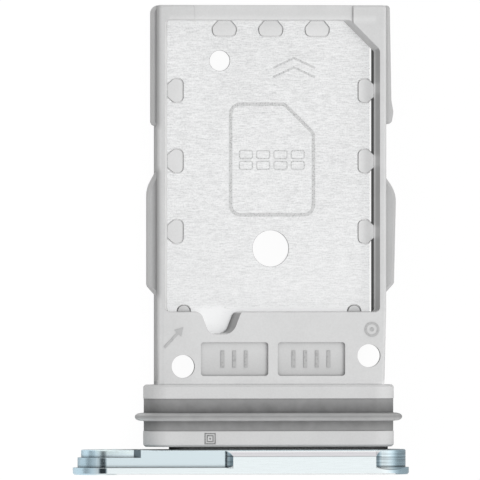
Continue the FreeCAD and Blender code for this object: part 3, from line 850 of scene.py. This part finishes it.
def layMark(name, shapes, foot, height, material):
    mesh = bpy.data.meshes.new(name)
    work = bmesh.new()
    for shape in shapes:
        work.faces.new([work.verts.new(Vector((p.x, p.y, foot)) * mm) for p in shape])
    bmesh.ops.remove_doubles(work, verts=work.verts, dist=1e-3 * mm)
    bmesh.ops.recalc_face_normals(work, faces=work.faces)
    for face in work.faces:
        if face.normal.z < 0:
            face.normal_flip()
    work.to_mesh(mesh)
    work.free()
    mark = bpy.data.objects.new(name, mesh)
    bpy.context.scene.collection.objects.link(mark)
    mesh.materials.append(material)
    thick = mark.modifiers.new("thickness", "SOLIDIFY")
    thick.thickness = height * mm
    thick.offset = 1
    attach(mark, "root")


etching = {
    "left": -0.456, "right": 3.094, "near": 1.064, "far": 5.774,
    "cut": 1.24, "corner": 0.42, "cutCorner": 0.30, "lineWidth": 0.15,
    "padRows": 2, "padColumns": 4, "padWidth": 0.56, "padHeight": 0.34, "padCorner": 0.08,
    "padPitchX": 0.74, "padPitchY": 0.46, "padLine": 0.055,
    "padsMiddle": (1.31, 3.40),
    "arrowTips": ((2.26, 7.74), (2.26, 7.34)),
    "arrowHalf": 0.9, "arrowFall": 0.42, "arrowLine": 0.09,
    "height": 0.004,
    "finish": {"level": 0.72, "dark": 0.50, "dotsPerMm": 14.0, "roughness": 0.5, "metallic": 0.8},
}


def etchPlate():
    s = etching
    card = roundedPath([
        (s["left"], s["near"], s["corner"]), (s["right"], s["near"], s["corner"]),
        (s["right"], s["far"] - s["cut"], s["cutCorner"]),
        (s["right"] - s["cut"], s["far"], s["cutCorner"]),
        (s["left"], s["far"], s["corner"])])
    shapes = stroke(card, s["lineWidth"], closed=True)
    middleX, middleY = s["padsMiddle"]
    for row in range(s["padRows"]):
        for column in range(s["padColumns"]):
            x = middleX + (column - (s["padColumns"] - 1) / 2) * s["padPitchX"]
            y = middleY + (row - (s["padRows"] - 1) / 2) * s["padPitchY"]
            pad = boxCorners(x, y, s["padWidth"] / 2, s["padHeight"] / 2, s["padCorner"])
            shapes += stroke(roundedPath(pad, steps=3), s["padLine"], closed=True)
    for tipX, tipY in s["arrowTips"]:
        arrow = [Vector((tipX - s["arrowHalf"], tipY - s["arrowFall"])), Vector((tipX, tipY)),
                 Vector((tipX + s["arrowHalf"], tipY - s["arrowFall"]))]
        shapes += stroke(arrow, s["arrowLine"])
    etched = speckledMark("etched steel", **s["finish"])
    layMark("plate_etching", shapes, plateTop, s["height"], etched)


tallies = {
    "fieldMiddles": (-0.365, 2.925), "middleY": -5.07, "fieldDepth": 0.12,
    "counts": (3, 4), "pitch": 0.50, "barHeight": 0.72, "barWidth": 0.14, "raised": 0.03,
    # painted shade: the bars are darker than the field floor round them
    "finish": {"level": 0.44, "dark": 0.36, "dotsPerMm": 8.0, "roughness": 0.5},
}


def markFields():
    s = tallies
    half = s["barHeight"] / 2
    shapes = []
    for middleX, count in zip(s["fieldMiddles"], s["counts"]):
        for i in range(count):
            x = middleX + (i - (count - 1) / 2) * s["pitch"]
            bar = [Vector((x, s["middleY"] - half)), Vector((x, s["middleY"] + half))]
            shapes += stroke(bar, s["barWidth"])
    # speckled mould marks, darker as painted shade
    wornAndShaded = speckledMark("worn mould marks", **s["finish"])
    layMark("field_tallies", shapes, deckTop - s["fieldDepth"], s["raised"], wornAndShaded)


deckSigns = {
    "arrowTail": (-3.36, -4.58), "arrowTip": (-2.56, -3.72),
    "shaft": 0.10, "barb": 0.20, "barbLength": 0.34,
    "ring": (5.52, -3.81), "ringRadius": 0.27, "ringLine": 0.09, "dotRadius": 0.09, "raised": 0.02,
    # painted shade: the signs are darker than the deck round them
    "finish": {"level": 0.46, "dark": 0.40, "dotsPerMm": 8.0, "roughness": 0.5},
}


def markDeck():
    s = deckSigns
    tail, tip = Vector(s["arrowTail"]), Vector(s["arrowTip"])
    along = (tip - tail).normalized()
    across = Vector((-along.y, along.x))
    neck = tip - along * s["barbLength"]
    shaft, barb = across * s["shaft"] / 2, across * s["barb"]
    arrow = [tail - shaft, neck - shaft, neck - barb, tip, neck + barb, neck + shaft, tail + shaft]
    ring = stroke(discOf(*s["ring"], s["ringRadius"], steps=28), s["ringLine"], closed=True)
    shapes = [arrow] + ring + [discOf(*s["ring"], s["dotRadius"])]
    # raised mould signs, darker as painted shade
    raised = speckledMark("raised mould signs", **s["finish"])
    layMark("deck_signs", shapes, deckTop, s["raised"], raised)


squareMark = {
    "centre": (-1.43, -8.445), "halves": (0.215, 0.125), "line": 0.055, "dot": 0.045, "height": 0.004,
    "finish": {"level": 0.26, "dark": 0.14, "dotsPerMm": 14.0, "roughness": 0.6},
}


def markHead():
    # two plain squares with a dot on the head block's flat top
    s = squareMark
    x, y = s["centre"]
    shapes = []
    for half in s["halves"]:
        corners = boxCorners(x, y, half, half, 0.0)
        shapes += stroke(roundedPath(corners), s["line"], closed=True)
    shapes.append(discOf(x, y, s["dot"], steps=12))
    burnt = speckledMark("laser mark", **s["finish"])
    layMark("head_mark", shapes, headTop, s["height"], burnt)


bossBlends = {
    "rise": 0.20,
    "sizes": ((-0.28, 0.14), (0.20, 0.06)),      # along and out of the flange, left and right
    "foot": 0.02,            # into the flange
    "steps": 6,
}


def blendBoss():
    # milled corners where the boss runs into the flange, on both faces of the cap
    s = bossBlends
    shapes = []
    foot = flangeBack - s["foot"]
    for x, (run, depth) in zip(aluminium["bossEnds"], s["sizes"]):
        curve = [Vector((x + run * (1 - math.sin(turn)), flangeBack + depth * (1 - math.cos(turn))))
                 for turn in turnsTo(90, s["steps"])]
        shapes.append([Vector((x, foot)), Vector((x + run, foot))] + curve)
    metal = blueAluminium()
    layMark("boss_blends_upper", shapes, capHigh.z - s["rise"], s["rise"], metal)
    layMark("boss_blends_lower", shapes, capLow.z, s["rise"], metal)


etchPlate()
markFields()
markDeck()
markHead()
blendBoss()
print("marks laid")


# floor, light and camera

studio = {
    # brightness of the sky across the tray, from straight left (-1) to straight right (1)
    "skyAcross": [(-1.0, 0.42), (-0.96, 0.47), (-0.88, 0.64), (-0.76, 0.76), (-0.50, 0.70),
                  (-0.25, 0.85), (0.0, 1.0), (0.70, 1.08), (0.84, 0.88), (0.92, 0.68), (1.0, 0.45)],
    "spotLean": 12.5,            # degrees to the left, the dark front of the lens over the tray
    "spotLevel": 0.05,
    "spotColour": (0.72, 0.90, 1.0),
    "spotFrom": 18.0, "spotTo": 8.0,     # degrees from the spot's middle
    "sunStrength": 0.9,
    "sunAngle": 28,
    "sunFrom": (0.85, -0.25, 1.0),
    "floorGlow": 0.92,
    "floorLightColours": (0.85, 0.42),    # painted light: the floor is paler on the left, for what the cap reflects and for bounce light
    "floorSize": 1.5, "floorGap": 0.002,     # metres, and mm under the tray
}

view = {
    "lean": 6.5,             # degrees that the camera leans to the left
    "width": 20.43,          # mm seen across the picture
    "lens": 900, "sensor": 36,
    "clip": (0.01, 20),
    "centre": (-0.045, -0.0085, 1.35),
}


def makeFloor():
    half = studio["floorSize"] / 2
    mesh = bpy.data.meshes.new("floor")
    corners = [(-half, -half), (half, -half), (half, half), (-half, half)]
    height = cadLow.z - studio["floorGap"] * mm
    mesh.from_pydata([(x, y, height) for x, y in corners], [], [(0, 1, 2, 3)])
    floor = bpy.data.objects.new("floor", mesh)
    bpy.context.scene.collection.objects.link(floor)
    material, tree = newMaterial("white table")
    seen = addNode(tree, "ShaderNodeLightPath").outputs["Is Camera Ray"]
    paler, duller = studio["floorLightColours"]
    across = axesOf(tree, placeInMm(tree))[0]
    tone = spread(tree, across, capLow.x, capHigh.x, paler, duller, smooth=True)
    paper = addNode(tree, "ShaderNodeBsdfDiffuse", {"Color": greyOf(tree, tone)})
    share = studio["floorGlow"]
    white = (1 - (1 - share) * duller) / share     # makes up for the duller paper
    glow = addNode(tree, "ShaderNodeEmission", {"Color": grey(1.0), "Strength": white})
    mixed = addNode(tree, "ShaderNodeMixShader", {
        0: times(tree, seen, share), 1: paper.outputs[0], 2: glow.outputs[0]})
    finishMaterial(tree, mixed.outputs[0])
    mesh.materials.append(material)


def leaning(degrees):
    # direction upwards that leans to the left
    turn = math.radians(degrees)
    return Vector((-math.sin(turn), 0, math.cos(turn)))


def makeLights():
    s = studio
    world = bpy.data.worlds.new("studio")
    bpy.context.scene.world = world
    world.use_nodes = True
    tree = world.node_tree
    tree.nodes.clear()
    ray = addNode(tree, "ShaderNodeTexCoord").outputs["Generated"]
    across = axesOf(tree, ray)[0]
    sky = tree.nodes.new("ShaderNodeFloatCurve")
    curve = sky.mapping.curves[0]
    for place, level in s["skyAcross"][1:-1]:
        curve.points.new((place + 1) / 2, level / 2)     # the curve holds half the brightness
    curve.points[0].location = (0, s["skyAcross"][0][1] / 2)
    curve.points[-1].location = (1, s["skyAcross"][-1][1] / 2)
    sky.mapping.update()
    tree.links.new(spread(tree, across, -1, 1, 0, 1), sky.inputs["Value"])
    facing = addNode(tree, "ShaderNodeVectorMath", {0: ray, 1: leaning(s["spotLean"])},
                     operation="DOT_PRODUCT")
    inSpot = spread(tree, facing.outputs["Value"], math.cos(math.radians(s["spotFrom"])),
                    math.cos(math.radians(s["spotTo"])), 0.0, 1.0, smooth=True)
    level = toned(tree, times(tree, sky.outputs[0], 2.0), inSpot, s["spotLevel"])
    tint = blendColour(tree, inSpot, grey(1.0), (*s["spotColour"], 1))
    background = addNode(tree, "ShaderNodeBackground", {"Color": tint, "Strength": level})
    addNode(tree, "ShaderNodeOutputWorld", {"Surface": background.outputs[0]})
    sun = bpy.data.lights.new("key", "SUN")
    sun.energy = s["sunStrength"]
    sun.angle = math.radians(s["sunAngle"])
    key = bpy.data.objects.new("key", sun)
    key.rotation_mode = "QUATERNION"
    key.rotation_quaternion = Vector(s["sunFrom"]).to_track_quat("Z", "Y")
    key.visible_glossy = False
    bpy.context.scene.collection.objects.link(key)


def makeCamera():
    camera = bpy.data.cameras.new("camera")
    camera.lens = view["lens"]
    camera.sensor_width = view["sensor"]
    camera.clip_start, camera.clip_end = view["clip"]
    holder = bpy.data.objects.new("camera", camera)
    distance = view["width"] * mm * view["lens"] / view["sensor"]
    holder.location = Vector(view["centre"]) * mm + leaning(view["lean"]) * distance
    holder.rotation_euler = (0, -math.radians(view["lean"]), 0)
    bpy.context.scene.collection.objects.link(holder)
    bpy.context.scene.camera = holder


makeFloor()
makeLights()
makeCamera()
bpy.context.scene.view_settings.view_transform = "Standard"
print("studio ready")
